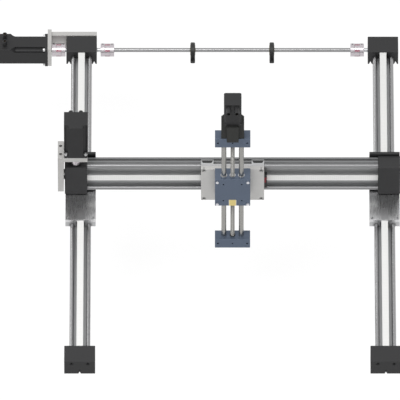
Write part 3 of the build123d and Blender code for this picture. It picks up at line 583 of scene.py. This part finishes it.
def journal(outer, inward, thread_end, reaches):
    """Profile of a turned end, from its outer face inwards until it closes below the thread.

    The reaches are in mm from the thread's end.
    """
    face = [(outer, 0), (outer, screw_radius - chamfer), (outer + inward * chamfer, screw_radius)]
    radii = (screw_radius, *neck_radii, 0)
    return face + [(thread_end + inward * reach * mm, radius) for reach, radius in zip(reaches, radii)]


low_end = journal(screw_low.z, 1, thread_low, (0.5, 1.5, 2.5, 3.5))
high_end = journal(screw_high.z, -1, thread_high, (1.0, 2.5, 3.5, 4.5))
screw_place = Matrix.Translation((screw_line.x, screw_line.y, 0))
ends = [(low_end, screw_place), (high_end[::-1], screw_place)]
journal_piece = add_turned("lead_screw_ends", ends, screw_metal, "lead_screw")
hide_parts("lead_screw")
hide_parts("lead_screw")


# Flange screws of the two large motors
def head_profile(radius, height, socket):
    """Cylinder head that stands on its place, with a round socket down to half its height."""
    rim = 0.4 * mm
    outside = [(0, 0), (0, radius), (height - rim, radius), (height, radius - rim)]
    return outside + [(height, socket), (height / 2, socket), (height / 2, 0)]


motor_flange = 6.5 * mm
half_pitch = 23.57 * mm
y_flange_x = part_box("y_motor_plate")[0].x - motor_flange
x_flange_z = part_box("x_motor_plate")[1].z + motor_flange
large_head = head_profile(4.25 * mm, 5.0 * mm, 2.1 * mm)
y_heads = []
x_heads = []
for first in (-half_pitch, half_pitch):
    for second in (-half_pitch, half_pitch):
        y_spot = (y_flange_x, rear_line.y + first, rear_line.z + second)
        x_spot = (bridge_line.x + first, bridge_line.y + second, x_flange_z)
        y_heads.append((large_head, facing(y_spot, (-1, 0, 0))))
        x_heads.append((large_head, facing(x_spot, (0, 0, 1))))
add_turned("y_motor_flange_screws", y_heads, flange_steel, "base")
add_turned("x_motor_flange_screws", x_heads, flange_steel, "gantry")

# Clamp screws in the rims of the coupling hubs, two opposite ones on each hub
hub_length = 10 * mm
hub_radius = half_of("x_coupling_hubs").x
coupling_length = 2 * half_of("x_coupling_hubs").z
hub_offsets = (hub_length / 2, coupling_length - hub_length / 2)
y_hubs_low, y_hubs_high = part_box("y_coupling_hubs")
y_hub_starts = (y_hubs_low.x, -y_hubs_high.x, y_hubs_high.x - coupling_length)
x_hub_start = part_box("x_coupling_hubs")[0].z
clamp_lean = 20
clamp_radius, clamp_socket = 2.3 * mm, 1.1 * mm
clamp_foot, clamp_bottom, clamp_top = -1.2 * mm, -0.8 * mm, 0.2 * mm
clamp_head = [(clamp_foot, 0), (clamp_foot, clamp_radius), (clamp_top / 2, clamp_radius)]
clamp_head += [(clamp_top, clamp_radius - clamp_top), (clamp_top, clamp_socket)]
clamp_head += [(clamp_bottom, clamp_socket), (clamp_bottom, 0)]
y_clamps = []
for start in y_hub_starts:
    for offset in hub_offsets:
        for turn in (-clamp_lean, 180 - clamp_lean):
            out = Vector((0, -math.sin(math.radians(turn)), math.cos(math.radians(turn))))
            middle = Vector((start + offset, rear_line.y, rear_line.z))
            y_clamps.append((clamp_head, facing(middle + out * hub_radius, out)))
x_clamps = []
for offset in hub_offsets:
    for turn in (clamp_lean, 180 + clamp_lean):
        out = Vector((math.sin(math.radians(turn)), -math.cos(math.radians(turn)), 0))
        middle = Vector((bridge_line.x, bridge_line.y, x_hub_start + offset))
        x_clamps.append((clamp_head, facing(middle + out * hub_radius, out)))
add_turned("y_clamp_screws", y_clamps, screw_grey, "y_drive")
add_turned("x_clamp_screws", x_clamps, screw_grey, "x_drive")


# Contacts in the motors' sockets
pin_radius = 0.35 * mm
pin_tip = 0.15 * mm
pin_count = 5


def contacts(name, body, spots, axis, radius, depth):
    """Dark insert with gilt pins at the bottom of each socket."""
    inserts = []
    pins = []
    insert = [(0, 0), (0, radius), (0.3 * depth, radius), (0.3 * depth, 0)]
    pin = [(0.2 * depth, pin_radius), (0.72 * depth, pin_radius)]
    pin += [(0.78 * depth, pin_tip), (0.78 * depth, 0)]
    for spot in spots:
        place = facing(spot, axis)
        inserts.append((insert, place))
        for step in range(pin_count):
            angle = 2 * math.pi * step / pin_count
            side = Vector((math.cos(angle), math.sin(angle), 0)) * (0.55 * radius)
            pins.append((pin, place @ Matrix.Translation(side)))
    add_turned(name + "_inserts", inserts, socket_dark, body)
    add_turned(name + "_pins", pins, pin_gold, body)


# Sockets on either side of a motor's shaft, at a distance from its rear end
large_sides, small_sides = (-12.2 * mm, 12.2 * mm), (-9.75 * mm, 9.75 * mm)
large_inset, small_inset = 14.5 * mm, 11 * mm
large_radius, large_depth = 3.2 * mm, 7.5 * mm
small_radius, small_depth = 4.2 * mm, 10 * mm
y_motor_low, y_motor_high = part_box("y_motor")
x_motor_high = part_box("x_motor")[1]
z_motor_low, z_motor_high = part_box("z_motor")
y_bottom = (y_motor_low.x + large_inset, y_motor_high.z - large_depth)
x_bottom = (x_motor_high.y - large_depth, x_motor_high.z - large_inset)
z_bottom = (z_motor_low.y + small_depth, z_motor_high.z - small_inset)
y_spots = [(y_bottom[0], rear_line.y + side, y_bottom[1]) for side in large_sides]
x_spots = [(bridge_line.x + side, *x_bottom) for side in large_sides]
z_spots = [(screw_line.x + side, *z_bottom) for side in small_sides]
contacts("y_socket", "base", y_spots, (0, 0, 1), large_radius, large_depth)
contacts("x_socket", "gantry", x_spots, (0, 1, 0), large_radius, large_depth)
contacts("z_socket", "z_unit", z_spots, (0, -1, 0), small_radius, small_depth)


# Camera, 45 degrees above, so far off that the view is nearly parallel
view_width = 0.964
camera_data = bpy.data.cameras.new("camera")
camera_data.lens = 1700
camera_data.sensor_width = 36
camera_data.clip_start = 10
camera_data.clip_end = 80
camera = bpy.data.objects.new("camera", camera_data)
bpy.context.scene.collection.objects.link(camera)
target = Vector((-0.0784, 0.006, 0.0277))
direction = Vector((0, math.sqrt(0.5), -math.sqrt(0.5)))
camera.location = target - direction * (view_width * camera_data.lens / camera_data.sensor_width)
camera.rotation_euler = (math.radians(45), 0, 0)
bpy.context.scene.camera = camera


# Floor, world and lamps
def seen_directly(nodes, links):
    """An output that is 1 for camera, mirror and see-through rays, otherwise 0."""
    path = nodes.new("ShaderNodeLightPath")
    first = nodes.new("ShaderNodeMath")
    first.operation = "MAXIMUM"
    links.new(path.outputs["Is Camera Ray"], first.inputs[0])
    links.new(path.outputs["Is Glossy Ray"], first.inputs[1])
    second = nodes.new("ShaderNodeMath")
    second.operation = "MAXIMUM"
    links.new(first.outputs["Value"], second.inputs[0])
    links.new(path.outputs["Is Transmission Ray"], second.inputs[1])
    return second.outputs["Value"]


# Brightness of the floor and the world: what is seen of them, and what they light with
floor_glow = 0.86
shadow_grey = (0.19, 0.19, 0.19, 1)
world_white = 1.0
world_soft = 0.62
soft_grey = (0.8, 0.8, 0.8, 1)

floor_material = bpy.data.materials.new("floor_white")
floor_material.use_nodes = True
nodes = floor_material.node_tree.nodes
links = floor_material.node_tree.links
nodes.clear()
paint = nodes.new("ShaderNodeBsdfDiffuse")
paint.inputs["Color"].default_value = soft_grey
shadow_paint = nodes.new("ShaderNodeBsdfDiffuse")
shadow_paint.inputs["Color"].default_value = shadow_grey
glow = nodes.new("ShaderNodeEmission")
glow.inputs["Strength"].default_value = floor_glow
both = nodes.new("ShaderNodeAddShader")
links.new(shadow_paint.outputs["BSDF"], both.inputs[0])
links.new(glow.outputs["Emission"], both.inputs[1])
choose = nodes.new("ShaderNodeMixShader")
links.new(seen_directly(nodes, links), choose.inputs["Fac"])
links.new(paint.outputs["BSDF"], choose.inputs[1])
links.new(both.outputs["Shader"], choose.inputs[2])
clear = nodes.new("ShaderNodeBsdfTransparent")
side = nodes.new("ShaderNodeMixShader")
links.new(nodes.new("ShaderNodeNewGeometry").outputs["Backfacing"], side.inputs["Fac"])
links.new(choose.outputs["Shader"], side.inputs[1])
links.new(clear.outputs["BSDF"], side.inputs[2])
output = nodes.new("ShaderNodeOutputMaterial")
links.new(side.outputs["Shader"], output.inputs["Surface"])
floor_mesh = bpy.data.meshes.new("floor")
reach = 12.0
floor_level = -0.32
corners = [(-reach, -reach, 0), (reach, -reach, 0), (reach, reach, 0), (-reach, reach, 0)]
floor_mesh.from_pydata(corners, [], [(0, 1, 2, 3)])
floor_mesh.materials.append(floor_material)
floor = bpy.data.objects.new("floor", floor_mesh)
floor.location = (0, 0, floor_level)
bpy.context.scene.collection.objects.link(floor)

world = bpy.data.worlds.new("studio")
bpy.context.scene.world = world
world.use_nodes = True
nodes = world.node_tree.nodes
links = world.node_tree.links
nodes.clear()
white = nodes.new("ShaderNodeBackground")
white.inputs["Color"].default_value = (1, 1, 1, 1)
white.inputs["Strength"].default_value = world_white
soft = nodes.new("ShaderNodeBackground")
soft.inputs["Color"].default_value = soft_grey
soft.inputs["Strength"].default_value = world_soft
mixed = nodes.new("ShaderNodeMixShader")
links.new(seen_directly(nodes, links), mixed.inputs["Fac"])
links.new(soft.outputs["Background"], mixed.inputs[1])
links.new(white.outputs["Background"], mixed.inputs[2])
sky = nodes.new("ShaderNodeOutputWorld")
links.new(mixed.outputs["Shader"], sky.inputs["Surface"])


def lamp(name, place, aim, size, power):
    """Square soft lamp that points at a spot."""
    data = bpy.data.lights.new(name, "AREA")
    data.shape = "SQUARE"
    data.size = size
    data.energy = power
    item = bpy.data.objects.new(name, data)
    item.location = place
    item.rotation_euler = (Vector(aim) - Vector(place)).to_track_quat("-Z", "Y").to_euler()
    bpy.context.scene.collection.objects.link(item)


lamp("key", (-1.4, -1.2, 3.2), (0, 0, 0), 1.6, 60)
lamp("fill", (2.6, -1.8, 2.0), (0, 0, 0.1), 2.0, 20)
lamp("rear", (-2.75, 3.5, 2.2), (0, 0, 0), 1.2, 16)
lamp("top", (0, -1.0, 3.8), (0, 0, 0), 1.0, 14)

bpy.context.scene.view_settings.view_transform = "Standard"
